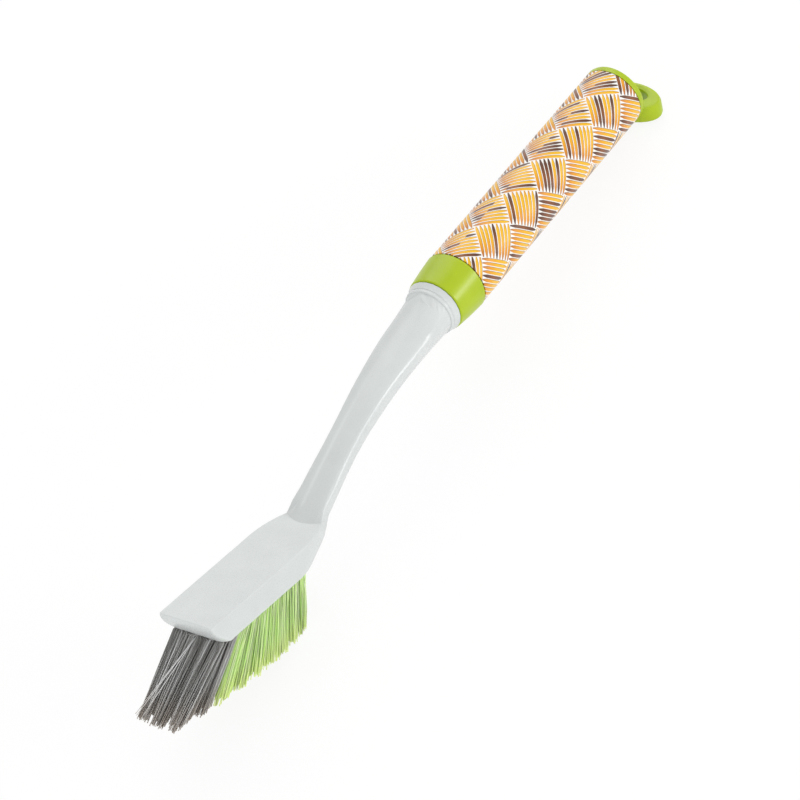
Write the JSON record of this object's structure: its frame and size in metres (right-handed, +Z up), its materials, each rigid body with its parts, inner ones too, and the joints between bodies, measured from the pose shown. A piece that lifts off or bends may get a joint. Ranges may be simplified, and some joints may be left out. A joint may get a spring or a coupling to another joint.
{
  "type": "cleaning brush",
  "caption": "Hand scrubbing brush: flat oblong head, forward-leaning bristle tufts, curved neck, round printed handle and an end cap with a wide hanging eye.",
  "frame": {"origin": "middle of the table area that the brush covers, on the table", "axes": "+X along the brush from the bristle head to the hanging eye, +Z up, with the brush lying on its rear bristles and its hanging eye"},
  "size_m": [0.2998, 0.0254, 0.0422],
  "materials": {
    "head_plastic": "satin",
    "lime_plastic": "satin",
    "tube_plastic": "satin",
    "printed_film": "printed film",
    "grey_bristle": "drawn filament",
    "green_bristle": "drawn filament",
    "anchor_wire": "flat wire"
  },
  "bodies": {
    "root": {"head_and_neck": "head_plastic", "collar": "lime_plastic", "handle_tube": "tube_plastic", "printed_sleeve": "printed_film", "end_cap": "lime_plastic", "grey_tuft_01": "grey_bristle", "grey_tuft_02": "grey_bristle", "green_tuft_03": "green_bristle", "green_tuft_04": "green_bristle", "green_tuft_05": "green_bristle", "green_tuft_06": "green_bristle", "green_tuft_07": "green_bristle", "green_tuft_08": "green_bristle", "green_tuft_09": "green_bristle", "grey_tuft_10": "grey_bristle", "grey_tuft_11": "grey_bristle", "green_tuft_12": "green_bristle", "green_tuft_13": "green_bristle", "green_tuft_14": "green_bristle", "green_tuft_15": "green_bristle", "green_tuft_16": "green_bristle", "green_tuft_17": "green_bristle", "green_tuft_18": "green_bristle", "grey_tuft_19": "grey_bristle", "grey_tuft_20": "grey_bristle", "green_tuft_21": "green_bristle", "green_tuft_22": "green_bristle", "green_tuft_23": "green_bristle", "green_tuft_24": "green_bristle", "green_tuft_25": "green_bristle", "green_tuft_26": "green_bristle", "green_tuft_27": "green_bristle", "anchor_01": "anchor_wire", "anchor_02": "anchor_wire", "anchor_03": "anchor_wire", "anchor_04": "anchor_wire", "anchor_05": "anchor_wire", "anchor_06": "anchor_wire", "anchor_07": "anchor_wire", "anchor_08": "anchor_wire", "anchor_09": "anchor_wire", "anchor_10": "anchor_wire", "anchor_11": "anchor_wire", "anchor_12": "anchor_wire", "anchor_13": "anchor_wire", "anchor_14": "anchor_wire", "anchor_15": "anchor_wire", "anchor_16": "anchor_wire", "anchor_17": "anchor_wire", "anchor_18": "anchor_wire", "anchor_19": "anchor_wire", "anchor_20": "anchor_wire", "anchor_21": "anchor_wire", "anchor_22": "anchor_wire", "anchor_23": "anchor_wire", "anchor_24": "anchor_wire", "anchor_25": "anchor_wire", "anchor_26": "anchor_wire", "anchor_27": "anchor_wire"}
  },
  "joints": []
}
